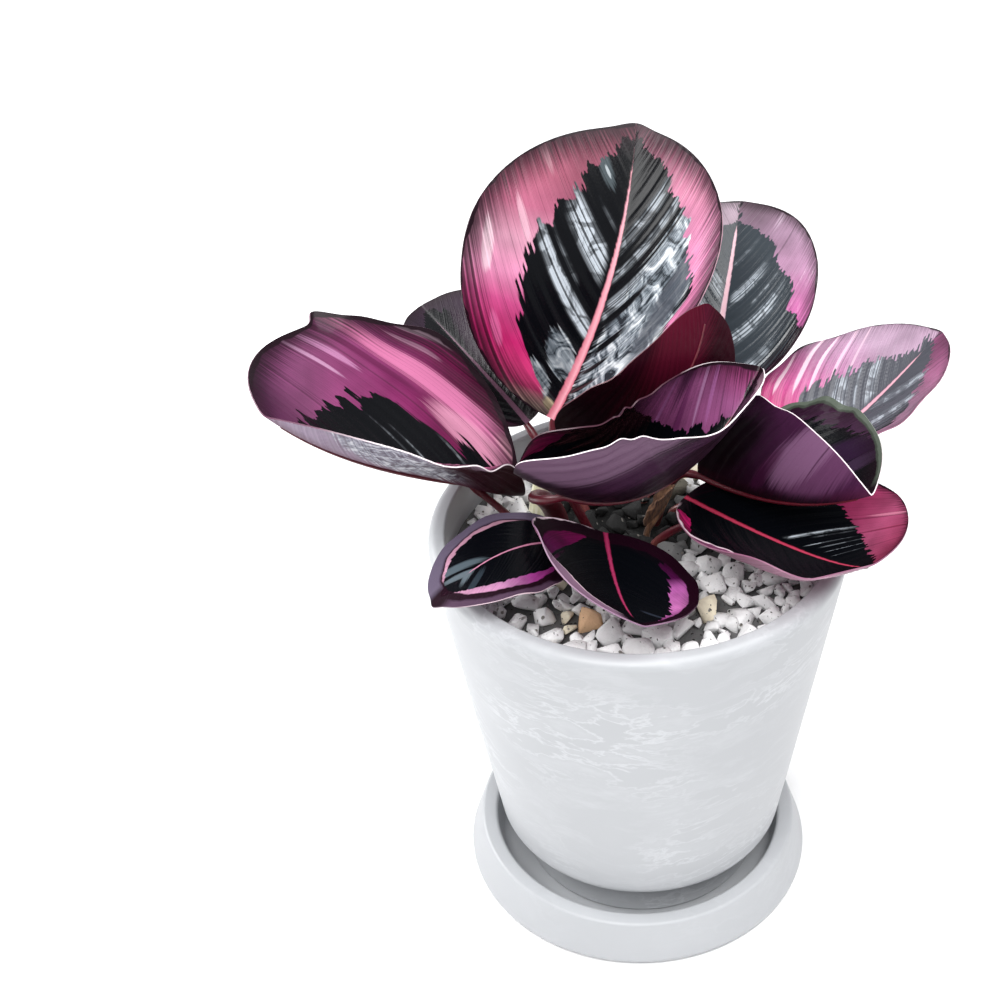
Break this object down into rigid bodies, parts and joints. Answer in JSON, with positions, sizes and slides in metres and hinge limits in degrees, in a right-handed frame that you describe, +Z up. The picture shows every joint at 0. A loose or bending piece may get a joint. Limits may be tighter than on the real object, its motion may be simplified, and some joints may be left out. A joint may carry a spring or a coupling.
{
  "type": "potted calathea",
  "caption": "Rose-painted calathea: waved, cupped leaves with black centres and pink zones, in a tapered pot with pumice on the soil, on its saucer.",
  "frame": {"origin": "on the pot's axis, in the plane that the saucer stands on", "axes": "+Z up; the plant's front, the side that its largest leaf faces, is -Y; +X is to the right seen from the front"},
  "size_m": [0.2497, 0.2027, 0.2653],
  "materials": {
    "saucer": "satin",
    "pot": "satin",
    "soil": "matte",
    "pumice": "matte",
    "young_sheath": "satin",
    "dry_sheath": "matte",
    "leaf": "gloss"
  },
  "bodies": {
    "root": {"saucer": "saucer", "pot": "pot", "potting_soil": "soil", "pumice_top_dressing": "pumice", "young_shoot": "young_sheath", "dry_sheath": "dry_sheath", "leaf_tall_front": "leaf", "leaf_left": "leaf", "leaf_centre_boat": "leaf", "leaf_dark_upright": "leaf", "leaf_back_right": "leaf", "leaf_far_right": "leaf", "leaf_right_cupped": "leaf", "leaf_low_right": "leaf", "leaf_low_left": "leaf", "leaf_low_front": "leaf", "leaf_back_left": "leaf", "leaf_back": "leaf"}
  },
  "joints": []
}
